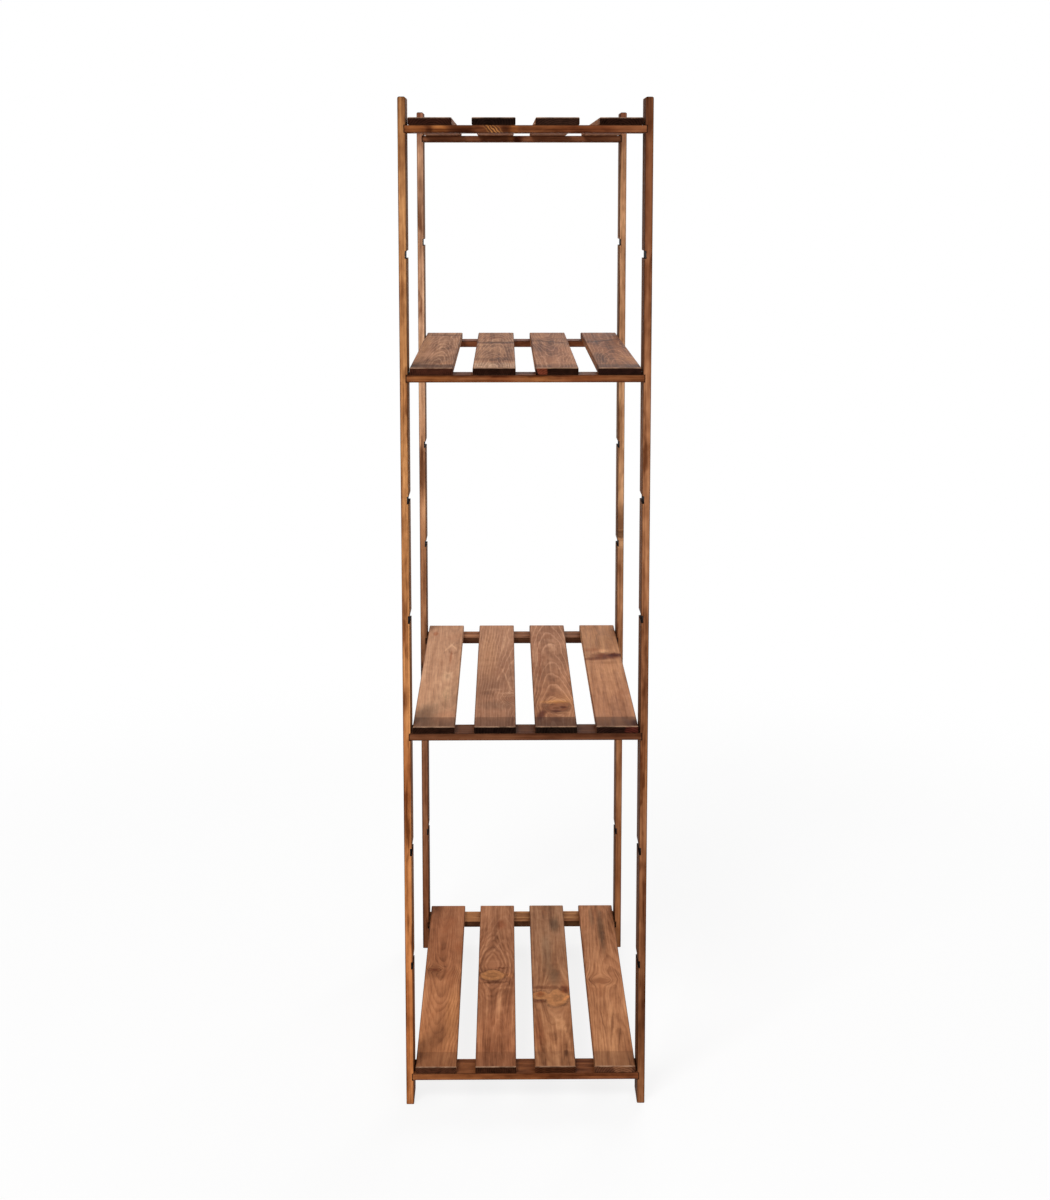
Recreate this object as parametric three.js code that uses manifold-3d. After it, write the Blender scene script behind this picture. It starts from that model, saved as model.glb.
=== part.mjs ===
// Plant ladder stand: four slatted shelves whose cross rails are housed in notched uprights.
// Millimetres, +Z up. X runs across the narrow end, Y along the slats, and the front end faces -Y.
// The origin is on the floor, under the middle of the stand.

import * as THREE from 'three';
import { mergeVertices } from 'three/addons/utils/BufferGeometryUtils.js';
import Module from 'manifold-3d';

const wasm = await Module();
wasm.setup();

// Whole stand
const STAND_WIDTH = 408; // across the narrow end, over the uprights
const STAND_LENGTH = 700; // along the slats, over the uprights

// Uprights
const UPRIGHT_THICKNESS = 13;
const UPRIGHT_DEPTH = 58;
const UPRIGHT_TOP_RADIUS = 3; // the softened corners of the upper end
const TOP_MARGIN = 57; // from the floor of the highest notch to the top of the upright

// Notches, cut right across the inner face of each upright
const LOWEST_NOTCH_HEIGHT = 43;
const NOTCH_PITCH = 200;
const NOTCH_DEPTH = 3.2;

// Shelves, each counted in notches up from the shelf below it
const SHELVES = [
  { name: 'bottom_shelf', steps_up: 0 },
  { name: 'third_shelf', steps_up: 3 },
  { name: 'second_shelf', steps_up: 3 },
  { name: 'top_shelf', steps_up: 2 },
];

// Cross rails
const RAIL_DEPTH = 54;
const RAIL_THICKNESS = 12;

// Slats
const SLAT_COUNT = 4;
const SLAT_WIDTH = 70;
const SLAT_THICKNESS = 12;
const SLAT_SIDE_CLEARANCE = 3; // from an outer slat to the inner face of the upright

// Planed boards
const EDGE_RADIUS = 1.5; // along the length
const END_EASE = 0.8; // round the sawn ends
const SEAT_GAP = 0.3; // between two boards that bear on each other

// Screws through the uprights into the ends of the rails
const RAIL_SCREW = { diameter: 4, length: 35, head: 8, tip: 5 };
// Screws up through the rails into the slats, whose holes alone are cut here
const SLAT_SCREW_DIAMETER = 3.5;
const SLAT_SCREW_HEAD = 7;
const SLAT_SCREW_TIP = 3;
const SLAT_SCREW_COVER = 4; // wood left above the screw's point
const SCREW_CLEARANCE = 0.25; // round the shank and under the head
const HEAD_RIM = 0.4; // straight edge of the countersunk head
const HEAD_SINK = 0.3; // from the face of the wood down to the head
const RECESS_SPAN = 4.2; // driver cross in the head
const RECESS_SLOT = 0.9;
const RECESS_DEPTH = 1.5;

// Facets
const EDGE_SEGMENTS = 1; // three.js makes two facets of an arc for each
const SCREW_SIDES = 12;
const CUT_OVERRUN = 5; // how far a cutter stands out of the wood
const MERGE_TOLERANCE = 1e-4;

// Derived sizes
const notchHeight = RAIL_THICKNESS + 2 * SEAT_GAP;
const notchCount = 1 + SHELVES.reduce((sum, shelf) => sum + shelf.steps_up, 0);
const uprightLength = LOWEST_NOTCH_HEIGHT + (notchCount - 1) * NOTCH_PITCH + TOP_MARGIN;
const uprightX = (STAND_WIDTH - UPRIGHT_THICKNESS) / 2;
const uprightY = (STAND_LENGTH - UPRIGHT_DEPTH) / 2;
const railLength = STAND_WIDTH - 2 * (UPRIGHT_THICKNESS - NOTCH_DEPTH + SEAT_GAP);
const railY = (STAND_LENGTH - RAIL_DEPTH) / 2;
const slatRun = STAND_WIDTH - 2 * (UPRIGHT_THICKNESS + SLAT_SIDE_CLEARANCE);
const slatPitch = (slatRun - SLAT_WIDTH) / (SLAT_COUNT - 1);
const slatScrew = {
  diameter: SLAT_SCREW_DIAMETER,
  length: RAIL_THICKNESS + SEAT_GAP + SLAT_THICKNESS - SLAT_SCREW_COVER,
  head: SLAT_SCREW_HEAD,
  tip: SLAT_SCREW_TIP,
};

// Heights inside a shelf, measured from the underside of its rails
const railMiddle = RAIL_THICKNESS / 2;
const slatMiddle = RAIL_THICKNESS + SEAT_GAP + SLAT_THICKNESS / 2;

// Materials
const brownPine = { roughness: 0.55, metalness: 0 };
const uprightWood = new THREE.MeshStandardMaterial({ color: 0x8f5a30, ...brownPine });
const railWood = new THREE.MeshStandardMaterial({ color: 0x7d4a28, ...brownPine });
const slatWood = new THREE.MeshStandardMaterial({ color: 0x8a5636, ...brownPine });
const screwSteel = new THREE.MeshStandardMaterial({ color: 0xb9a46a, roughness: 0.35, metalness: 0.9 });

// A closed three.js geometry as a solid that can be joined and cut.
function solidOf(geometry) {
  geometry.deleteAttribute('normal');
  geometry.deleteAttribute('uv');
  const merged = mergeVertices(geometry, MERGE_TOLERANCE);
  const mesh = new wasm.Mesh({
    numProp: 3,
    vertProperties: new Float32Array(merged.attributes.position.array),
    triVerts: new Uint32Array(merged.index.array),
  });
  return new wasm.Manifold(mesh);
}

// A solid as a three.js geometry with flat facets.
function geometryOf(solid) {
  const mesh = solid.getMesh();
  const shared = new THREE.BufferGeometry();
  shared.setAttribute('position', new THREE.BufferAttribute(new Float32Array(mesh.vertProperties), 3));
  shared.setIndex(new THREE.BufferAttribute(new Uint32Array(mesh.triVerts), 1));
  const faceted = shared.toNonIndexed();
  faceted.computeVertexNormals();
  return faceted;
}

// The section of a planed board, with its four long edges eased.
function boardSection(width, height) {
  const x = width / 2 - EDGE_RADIUS;
  const y = height / 2 - EDGE_RADIUS;
  const quarter = Math.PI / 2;
  const section = new THREE.Shape();
  section.absarc(x, y, EDGE_RADIUS, 0, quarter);
  section.absarc(-x, y, EDGE_RADIUS, quarter, 2 * quarter);
  section.absarc(-x, -y, EDGE_RADIUS, 2 * quarter, 3 * quarter);
  section.absarc(x, -y, EDGE_RADIUS, 3 * quarter, 4 * quarter);
  section.closePath();
  return section;
}

// A board that runs along Z, centred on the origin.
function board(width, height, length) {
  const geometry = new THREE.ExtrudeGeometry(boardSection(width, height), {
    depth: length - 2 * END_EASE,
    curveSegments: EDGE_SEGMENTS,
    bevelThickness: END_EASE,
    bevelSize: END_EASE,
    bevelOffset: -END_EASE,
    bevelSegments: 1,
  });
  return geometry.translate(0, 0, END_EASE - length / 2);
}

// The outline of a countersunk screw about the Y axis, point down, with its face at y = 0.
// A hole for it is the same outline grown by the clearance and carried up out of the wood.
function screwOutline(screw, clearance, faceHeight) {
  const shank = screw.diameter / 2 + clearance;
  const head = screw.head / 2 + clearance;
  const cone = (screw.head - screw.diameter) / 2;
  const point = -screw.length - clearance;
  return [
    new THREE.Vector2(0, point),
    new THREE.Vector2(shank, point + screw.tip),
    new THREE.Vector2(shank, -HEAD_RIM - cone),
    new THREE.Vector2(head, -HEAD_RIM),
    new THREE.Vector2(head, faceHeight),
    new THREE.Vector2(0, faceHeight),
  ];
}

function screwHole(screw) {
  const outline = screwOutline(screw, SCREW_CLEARANCE, CUT_OVERRUN);
  return new THREE.LatheGeometry(outline, SCREW_SIDES).translate(0, -HEAD_SINK, 0);
}

// A screw that enters an upright on the given side (-1 left, 1 right) points to the other side.
function turnToSide(geometry, side) {
  return geometry.rotateZ(-side * Math.PI / 2);
}

// The notches of one upright, from the lowest up.
function notchCutters(side) {
  const innerFace = -side * UPRIGHT_THICKNESS / 2;
  const reach = NOTCH_DEPTH + CUT_OVERRUN;
  const across = UPRIGHT_DEPTH + 2 * CUT_OVERRUN;
  const x = innerFace + side * (NOTCH_DEPTH - reach / 2);
  const cutters = [];
  for (let index = 0; index < notchCount; index += 1) {
    const z = LOWEST_NOTCH_HEIGHT + index * NOTCH_PITCH + notchHeight / 2;
    const notch = new THREE.BoxGeometry(reach, across, notchHeight);
    cutters.push(notch.translate(x, 0, z));
  }
  return cutters;
}

// The wedges that round the two corners of an upright's upper end.
function topCornerCutters() {
  const x = UPRIGHT_THICKNESS / 2;
  const corner = new THREE.Shape();
  corner.absarc(x - UPRIGHT_TOP_RADIUS, -UPRIGHT_TOP_RADIUS, UPRIGHT_TOP_RADIUS, 0, Math.PI / 2);
  corner.lineTo(x - UPRIGHT_TOP_RADIUS, CUT_OVERRUN);
  corner.lineTo(x + CUT_OVERRUN, CUT_OVERRUN);
  corner.lineTo(x + CUT_OVERRUN, -UPRIGHT_TOP_RADIUS);
  corner.closePath();
  const across = UPRIGHT_DEPTH + 2 * CUT_OVERRUN;
  const settings = { depth: across, bevelEnabled: false, curveSegments: 2 * EDGE_SEGMENTS };
  const right = new THREE.ExtrudeGeometry(corner, settings).translate(0, 0, -across / 2);
  right.rotateX(Math.PI / 2).translate(0, 0, uprightLength);
  const left = right.clone().rotateZ(Math.PI);
  return [right, left];
}

// The heights of the shelves' rails, from the bottom shelf up.
function shelfHeights() {
  let notch = 0;
  return SHELVES.map((shelf) => {
    notch += shelf.steps_up;
    return LOWEST_NOTCH_HEIGHT + notch * NOTCH_PITCH + SEAT_GAP;
  });
}

// One upright, standing on z = 0. The end is -1 at the front of the stand and 1 at the rear.
function uprightGeometry(side, end) {
  const blank = board(UPRIGHT_THICKNESS, UPRIGHT_DEPTH, uprightLength);
  const holes = shelfHeights().map((height) => {
    const hole = turnToSide(screwHole(RAIL_SCREW), side);
    return hole.translate(side * UPRIGHT_THICKNESS / 2, end * (railY - uprightY), height + railMiddle);
  });
  let solid = solidOf(blank.translate(0, 0, uprightLength / 2));
  for (const cutter of [...notchCutters(side), ...topCornerCutters(), ...holes]) {
    solid = solid.subtract(solidOf(cutter));
  }
  return geometryOf(solid);
}

// The places of the slats across the stand, from left to right.
function slatPlaces() {
  const first = (SLAT_WIDTH - slatRun) / 2;
  return Array.from({ length: SLAT_COUNT }, (_, index) => first + index * slatPitch);
}

// One cross rail along X, with a screw hole in each end and one under each slat.
function railGeometry() {
  let solid = solidOf(board(RAIL_THICKNESS, RAIL_DEPTH, railLength).rotateY(Math.PI / 2));
  for (const side of [-1, 1]) {
    const hole = turnToSide(screwHole(RAIL_SCREW), side).translate(side * STAND_WIDTH / 2, 0, 0);
    solid = solid.subtract(solidOf(hole));
  }
  for (const x of slatPlaces()) {
    const hole = screwHole(slatScrew).rotateX(-Math.PI / 2).translate(x, 0, -railMiddle);
    solid = solid.subtract(solidOf(hole));
  }
  return geometryOf(solid);
}

// One slat along Y, with a blind screw hole over each rail.
function slatGeometry() {
  let solid = solidOf(board(SLAT_WIDTH, SLAT_THICKNESS, STAND_LENGTH).rotateX(Math.PI / 2));
  for (const y of [-railY, railY]) {
    const hole = screwHole(slatScrew).rotateX(-Math.PI / 2).translate(0, y, -slatMiddle);
    solid = solid.subtract(solidOf(hole));
  }
  return geometryOf(solid);
}

// The cross that the driver fits, as two slots through the middle of the head.
function recessCutters() {
  const height = RECESS_DEPTH + CUT_OVERRUN;
  const slot = new THREE.BoxGeometry(RECESS_SPAN, height, RECESS_SLOT);
  slot.translate(0, height / 2 - RECESS_DEPTH, 0);
  const crossSlot = slot.clone().rotateY(Math.PI / 2);
  return [slot, crossSlot];
}

// One screw, with the face of the wood at x = 0.
function railScrewGeometry(side) {
  const outline = screwOutline(RAIL_SCREW, 0, 0);
  let solid = solidOf(new THREE.LatheGeometry(outline, SCREW_SIDES));
  for (const cutter of recessCutters()) {
    solid = solid.subtract(solidOf(cutter));
  }
  return turnToSide(geometryOf(solid).translate(0, -HEAD_SINK, 0), side);
}

function place(group, name, geometry, material, x, y, z) {
  const mesh = new THREE.Mesh(geometry, material);
  mesh.name = name;
  mesh.position.set(x, y, z);
  group.add(mesh);
}

const SIDES = [{ name: 'left', sign: -1 }, { name: 'right', sign: 1 }];
const ENDS = [{ name: 'front', sign: -1 }, { name: 'rear', sign: 1 }];

function makeUprights() {
  const uprights = new THREE.Group();
  for (const end of ENDS) {
    for (const side of SIDES) {
      const name = `${end.name}_${side.name}_upright`;
      const geometry = uprightGeometry(side.sign, end.sign);
      place(uprights, name, geometry, uprightWood, side.sign * uprightX, end.sign * uprightY, 0);
    }
  }
  return uprights;
}

const rail = railGeometry();
const slat = slatGeometry();
const railScrews = SIDES.map((side) => railScrewGeometry(side.sign));

function makeShelf(name, height) {
  const shelf = new THREE.Group();
  shelf.position.z = height;
  for (const end of ENDS) {
    const y = end.sign * railY;
    place(shelf, `${name}_${end.name}_rail`, rail, railWood, 0, y, railMiddle);
    SIDES.forEach((side, index) => {
      const x = side.sign * STAND_WIDTH / 2;
      const screwName = `${name}_${end.name}_${side.name}_screw`;
      place(shelf, screwName, railScrews[index], screwSteel, x, y, railMiddle);
    });
  }
  slatPlaces().forEach((x, index) => {
    place(shelf, `${name}_slat_${index + 1}`, slat, slatWood, x, 0, slatMiddle);
  });
  return shelf;
}

const stand = new THREE.Group();
stand.add(makeUprights());
shelfHeights().forEach((height, index) => stand.add(makeShelf(SHELVES[index].name, height)));

export default stand;
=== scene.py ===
import math
from collections import namedtuple

import bmesh
import bpy
from mathutils import Matrix, Vector


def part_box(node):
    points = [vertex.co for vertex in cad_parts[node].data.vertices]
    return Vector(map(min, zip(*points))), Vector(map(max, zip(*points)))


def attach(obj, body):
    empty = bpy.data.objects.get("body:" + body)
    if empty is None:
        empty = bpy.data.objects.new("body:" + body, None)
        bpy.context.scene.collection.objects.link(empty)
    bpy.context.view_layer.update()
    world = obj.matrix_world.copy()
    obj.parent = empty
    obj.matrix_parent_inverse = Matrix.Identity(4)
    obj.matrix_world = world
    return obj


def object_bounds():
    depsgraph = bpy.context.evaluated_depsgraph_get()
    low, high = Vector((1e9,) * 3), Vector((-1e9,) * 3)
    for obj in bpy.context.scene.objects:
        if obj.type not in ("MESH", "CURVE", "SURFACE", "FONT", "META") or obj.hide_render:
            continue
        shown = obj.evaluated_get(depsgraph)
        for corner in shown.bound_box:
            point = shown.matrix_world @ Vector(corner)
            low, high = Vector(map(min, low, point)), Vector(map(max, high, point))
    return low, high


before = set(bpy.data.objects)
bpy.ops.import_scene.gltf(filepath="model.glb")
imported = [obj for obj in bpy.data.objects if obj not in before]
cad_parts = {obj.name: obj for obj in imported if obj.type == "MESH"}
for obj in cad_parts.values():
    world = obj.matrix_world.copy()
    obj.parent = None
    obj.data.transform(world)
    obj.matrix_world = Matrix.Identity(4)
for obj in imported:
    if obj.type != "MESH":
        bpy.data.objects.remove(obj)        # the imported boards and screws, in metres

cad_low, cad_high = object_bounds()

# ---------------------------------------------------------------- camera

PICTURE_WIDTH = 1050        # pixels
FOCAL_LENGTH = 1816         # pixels
SHIFT_DOWN = 168            # pixels, from the middle of the picture up to the lens axis
SENSOR_WIDTH = 36           # millimetres
CAMERA_PLACE = (-0.034, -3.279, 1.562)    # metres
CAMERA_PITCH = -7.77        # degrees, downwards
CAMERA_YAW = -0.646         # degrees, to the right


def make_camera():
    """The photograph's camera, with as much of its shift as keeps the stand whole in the other views."""
    data = bpy.data.cameras.new("camera")
    data.sensor_fit = "HORIZONTAL"
    data.sensor_width = SENSOR_WIDTH
    data.lens = FOCAL_LENGTH * SENSOR_WIDTH / PICTURE_WIDTH
    data.shift_y = -SHIFT_DOWN / PICTURE_WIDTH
    camera = bpy.data.objects.new("camera", data)
    camera.location = CAMERA_PLACE
    camera.rotation_euler = (math.radians(90 + CAMERA_PITCH), 0, math.radians(CAMERA_YAW))
    bpy.context.collection.objects.link(camera)
    bpy.context.scene.camera = camera


# ---------------------------------------------------------------- light and floor

WORLD_LIGHT = 0.28          # on the object; the camera and reflections see 1, which is white
FLOOR_SIZE = 60             # metres
FLOOR_COLOUR = (0.62, 0.62, 0.62, 1)    # for the light that it throws back on the object
FLOOR_SEEN = (0.97, 0.97, 0.97, 1)      # for the camera and reflections
SHADOW_DEPTH = 0.16         # how much of the floor that the camera sees is lit, and can darken
WHITE_FROM = 1.3            # metres from the stand's middle, where the floor turns plain white
WHITE_BY = 2.6              # and where it is wholly so

# name, place and size in metres, watts
LAMPS = [
    ("key", (-2.4, -5.0, 5.6), 2.6, 330),
    ("front", (2.2, -6.0, 1.9), 2.8, 90),
    ("back", (1.6, 5.2, 3.8), 3.0, 190),
]


def seen_directly(tree):
    """1 for camera, glossy and transmission rays, and 0 for the rays that carry light."""
    path = tree.nodes.new("ShaderNodeLightPath")
    total = path.outputs["Is Camera Ray"]
    for kind in ("Is Glossy Ray", "Is Transmission Ray"):
        larger = tree.nodes.new("ShaderNodeMath")
        larger.operation = "MAXIMUM"
        tree.links.new(total, larger.inputs[0])
        tree.links.new(path.outputs[kind], larger.inputs[1])
        total = larger.outputs[0]
    return total


def make_world():
    """White behind the stand, and a dimmer white as light."""
    world = bpy.data.worlds.new("studio")
    world.use_nodes = True
    tree = world.node_tree
    background = tree.nodes["Background"]
    background.inputs["Color"].default_value = (1, 1, 1, 1)
    strength = tree.nodes.new("ShaderNodeMapRange")
    strength.inputs["To Min"].default_value = WORLD_LIGHT
    strength.inputs["To Max"].default_value = 1
    tree.links.new(seen_directly(tree), strength.inputs["Value"])
    tree.links.new(strength.outputs[0], background.inputs["Strength"])
    bpy.context.scene.world = world


def make_lamps():
    """Large soft lamps that all point at the stand's middle."""
    target = Vector((0, 0, (cad_low.z + cad_high.z) / 2))
    for name, place, size, watts in LAMPS:
        data = bpy.data.lights.new(name, "AREA")
        data.size = size
        data.energy = watts
        lamp = bpy.data.objects.new(name, data)
        lamp.location = place
        lamp.rotation_euler = (target - Vector(place)).to_track_quat("-Z", "Y").to_euler()
        lamp.visible_camera = False
        bpy.context.collection.objects.link(lamp)


def make_floor():
    """A matt floor that shows a faint shadow near the stand and is plain white away from it."""
    plane = bmesh.new()
    bmesh.ops.create_grid(plane, x_segments=1, y_segments=1, size=FLOOR_SIZE / 2)
    mesh = bpy.data.meshes.new("floor")
    plane.to_mesh(mesh)
    plane.free()
    floor = bpy.data.objects.new("floor", mesh)
    bpy.context.collection.objects.link(floor)

    material = bpy.data.materials.new("pale_floor")
    material.use_nodes = True
    tree = material.node_tree
    tree.nodes.remove(tree.nodes["Principled BSDF"])
    matt = tree.nodes.new("ShaderNodeBsdfDiffuse")
    seen = seen_directly(tree)
    put(tree, matt.inputs["Color"], mix_colours(tree, seen, FLOOR_COLOUR, FLOOR_SEEN))
    white = tree.nodes.new("ShaderNodeEmission")

    texture = tree.nodes.new("ShaderNodeTexCoord")
    length = tree.nodes.new("ShaderNodeVectorMath")
    length.operation = "LENGTH"
    tree.links.new(texture.outputs["Object"], length.inputs[0])
    far = Field(tree, length.outputs["Value"]).step(WHITE_FROM, WHITE_BY)
    whiteness = Field(tree, seen) * (1 - (1 - far) * SHADOW_DEPTH)
    mixed = tree.nodes.new("ShaderNodeMixShader")
    put(tree, mixed.inputs[0], whiteness)
    tree.links.new(matt.outputs[0], mixed.inputs[1])
    tree.links.new(white.outputs[0], mixed.inputs[2])
    tree.links.new(mixed.outputs[0], tree.nodes["Material Output"].inputs["Surface"])
    mesh.materials.append(material)


# ---------------------------------------------------------------- shader arithmetic

class Field:
    """A number that varies over a surface, held as the output of a shader node."""

    def __init__(self, tree, socket):
        self.tree = tree
        self.socket = socket

    def maths(self, operation, *others):
        node = self.tree.nodes.new("ShaderNodeMath")
        node.operation = operation
        for slot, value in zip(node.inputs, (self, *others)):
            put(self.tree, slot, value)
        return Field(self.tree, node.outputs[0])

    def __add__(self, other):
        return self.maths("ADD", other)

    def __sub__(self, other):
        return self.maths("SUBTRACT", other)

    def __mul__(self, other):
        return self.maths("MULTIPLY", other)

    def __truediv__(self, other):
        return self.maths("DIVIDE", other)

    def __rsub__(self, other):
        return (self * -1) + other

    def size(self):
        return self.maths("ABSOLUTE")

    def fraction(self):
        return self.maths("FRACT")

    def root(self):
        return self.maths("SQRT")

    def hill(self):
        """A smooth hill, 1 high where the field is 0 and nearly flat beyond 2."""
        return (self * self * -1).maths("EXPONENT")

    def step(self, low, high):
        """0 at low and 1 at high, with a smooth rise between; high may be the lower one."""
        node = self.tree.nodes.new("ShaderNodeMapRange")
        node.interpolation_type = "SMOOTHSTEP"
        rising = low < high
        put(self.tree, node.inputs["Value"], self)
        node.inputs["From Min"].default_value = min(low, high)
        node.inputs["From Max"].default_value = max(low, high)
        node.inputs["To Min"].default_value = 0 if rising else 1
        node.inputs["To Max"].default_value = 1 if rising else 0
        return Field(self.tree, node.outputs[0])


def put(tree, slot, value):
    """Sets a shader input to a field, a socket or a plain value."""
    if isinstance(value, Field):
        value = value.socket
    if isinstance(value, bpy.types.NodeSocket):
        tree.links.new(value, slot)
    else:
        slot.default_value = value


def linear(colour, gain=(1, 1, 1)):
    """An 8-bit screen colour as linear light with alpha, each channel times its gain."""
    channels = [c / 255 for c in colour]
    light = [c / 12.92 if c < 0.04045 else ((c + 0.055) / 1.055) ** 2.4 for c in channels]
    return tuple(c * g for c, g in zip(light, gain)) + (1,)


def mix_colours(tree, amount, first, second, blend="MIX"):
    """The output of a node that goes from the first colour to the second."""
    node = tree.nodes.new("ShaderNodeMix")
    node.data_type = "RGBA"
    node.blend_type = blend
    inputs = [slot for slot in node.inputs if slot.enabled]
    for slot, value in zip(inputs, (amount, first, second)):
        put(tree, slot, value)
    return next(slot for slot in node.outputs if slot.enabled)


# ---------------------------------------------------------------- stained pine

# Sizes in this section are in millimetres, on a board's own axes: across its width, deep through its thickness
# and along its grain, from its centre. Colours are 8-bit screen colours, and gains multiply a board's own colour.
# A pair of numbers says where a smooth step starts and where it is complete.

METRE = 1000

DEEP_STAIN = (0.34, 0.26, 0.22)      # gains of the darkest, palest and reddest wood of a board
PALE_STAIN = (1.60, 1.80, 1.90)
RED_STAIN = (0.72, 0.52, 0.42)

AMBER = (180, 121, 75)               # colours of knots
RUST = (116, 60, 36)
UMBER = (62, 36, 25)                 # and of everything that is darkened

SMOKY = (0.50, 0.57, 0.62)           # gains of soft patches
SHADED = (0.42, 0.36, 0.33)
RUDDY = (0.78, 0.58, 0.50)
PALE = (1.45, 1.60, 1.65)
GOLDEN = (1.35, 1.35, 1.05)
BURNT = (0.36, 0.22, 0.19)

LATE_WOOD = (0.30, 0.88)             # parts of a year's ring: its dark late wood
PALE_LINE = (0.62, 0.90)             # the thin pale line that takes its place on darker wood
YEAR_END = (1.0, 0.92)
MEAN_LATE_WOOD = 0.35                # taken off, so that the rings leave a board's mean colour as it is
RING_RIPPLE = 0.9
RING_SWAY = 4
RING_FADE = 2.2                      # how unevenly the rings show along a board

NOISE_SHIFT = (3.7, 7.1, 5.3)        # between one noise and the next, in features

MIDDLE_TONE = 0.5                    # of a ramp from the darkest wood at 0 to the palest at 1
FIBRE_TONE = 0.4                     # how far each kind of mark moves the tone
FINE_STREAK_TONE = 1.3
WIDE_STREAK_TONE = 2.3
MOTTLE_TONE = 1.4
BLOTCH_TONE = 1.5
REDNESS = 0.30
RED_PLACES = (0.02, 0.30)            # the noise values over which the wood turns redder

ARCH_POWER = 1.4                     # 2 would part the grain in ovals, and 1 in diamonds
ARCH_WIDTH = 1.1                     # of the parted grain, in widths of the knot
ARCH_RIPPLE = 3
LOBE_BLEND = 0.25                    # how smoothly a knot and its lobes run together
OUTLINE_ACROSS = 5                   # how ragged the outlines of knots and patches are
OUTLINE_ALONG = 14
OUTLINE_BOTH = 0.6
PUSH_FALL = 0.67                     # how fast a knot's push on the rings falls off, and its shade
SHADE_FALL = 0.62
PATCH_EDGE = (1.3, 0.3)              # in half sizes from a patch's middle

SWIRL_LINES = 22                     # how close the lines over a knot are, in radians per half size
SWIRL_RIPPLE = 9
SWIRL_OUTSIDE = (2.4, 0.9)           # in half sizes from the middle of the parted grain
SWIRL_INSIDE = (0.2, 0.5)
SWIRL_DARK = (0.1, 0.9)              # parts of the wave that are dark, and pale
SWIRL_PALE = (-0.2, -0.9)
SWIRL_PALENESS = 0.7

KNOT_EDGE = (1.25, 0.80)             # in half sizes from a knot's middle, as the next three are
KNOT_RIM = (0.25, 0.80)
KNOT_LINE_INSIDE = (0.90, 1.08)
KNOT_LINE_OUTSIDE = (1.40, 1.12)
KNOT_RINGS = 14                      # rings in a knot, in radians per half size
KNOT_LIGHT = 0.80                    # in its middle; its rim, rings and spots add to it
KNOT_RIM_LIGHT = 0.30
KNOT_RING_LIGHT = 0.06
KNOT_SPOT_LIGHT = 1.1
KNOT_LINE = 0.5                      # strength of the line round a knot, and how much it varies
KNOT_LINE_SPOTS = 2.4
KNOT_RIPPLE = 0.6                    # how ragged a knot is, beside a patch

ARRIS = (-1.9, -0.6)                 # from an edge of the board
ARRIS_DARKNESS = 0.6
END_GRAIN = (-1.3, -0.4)             # from an end of the board
END_MEAN_LATE_WOOD = 0.4
END_RINGS = 0.7                      # how much the rings and a ripple show in the end grain
END_RIPPLE = 1.6
MARK_EDGE = (1.1, 0.8)               # in half widths of a mark on the end
MARK_RIPPLE = 8

WOOD_IOR = 1.06                      # low, because the stain soaks in and leaves hardly any gloss
ROUGHNESS = 0.60                     # of the face; late wood is smoother, ends and worn edges are rougher
LATE_WOOD_SMOOTHER = 0.06
RIPPLE_ROUGHER = 0.15
END_ROUGHER = 0.3
ARRIS_ROUGHER = 0.1
BUMP_STRENGTH = 0.3
BUMP_HEIGHT = 0.0005                 # metres
LATE_WOOD_RISE = 0.6                 # shares of that height
FIBRE_RISE = 1.2

# A knot: its centre and half sizes on the board's face, its colour, how far it pushes the rings aside, how much of
# it the colour covers, how dark the wood is round it, how strong the lines are that close round it, how far it
# leans across for each step along, the lobes that widen it, each a centre and half sizes, and the wood that parts
# round it: how many times longer than the knot, and how far its middle lies beyond the knot's, in half lengths.
KNOT_FIELDS = "across along half_across half_along colour push cover shade swirl lean lobes reach rise"
Knot = namedtuple("Knot", KNOT_FIELDS, defaults=(10, 0.9, 0.1, 0, 0, (), 2.5, 0.6))

# A soft patch: its centre and half sizes, its gain, how much it covers and how far it leans.
Patch = namedtuple("Patch", "across along half_across half_along gain cover lean", defaults=(0.6, 0))

# One board: its colour at the near or lower end and at the far or upper one, the width of a year's ring, the place
# of the log's heart beside the board's middle, the slope of the heart, how much the grain wanders, how strong the
# rings, the long streaks and the blotches are, its knots and patches, the colour of its sawn ends, how dark its
# painted shade is (over the front rail on a slat, on a front rail's upper face, a rear rail's front edge and an
# upright's inner face), and a mark of another colour on its ends, as a place and half width across with a colour.
# Rings with a strength below 0 are thin pale lines on darker wood.
LOOK_FIELDS = "tone far_tone ring heart slope wander rings streaks blotches knots patches end shadow end_mark"
LOOK_DEFAULTS = (None, 3.6, (0, -30), 0.03, 9, 0.2, 0.5, 0.5, (), (), (42, 24, 16), 0.25, None)
Look = namedtuple("Look", LOOK_FIELDS, defaults=LOOK_DEFAULTS)


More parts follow.
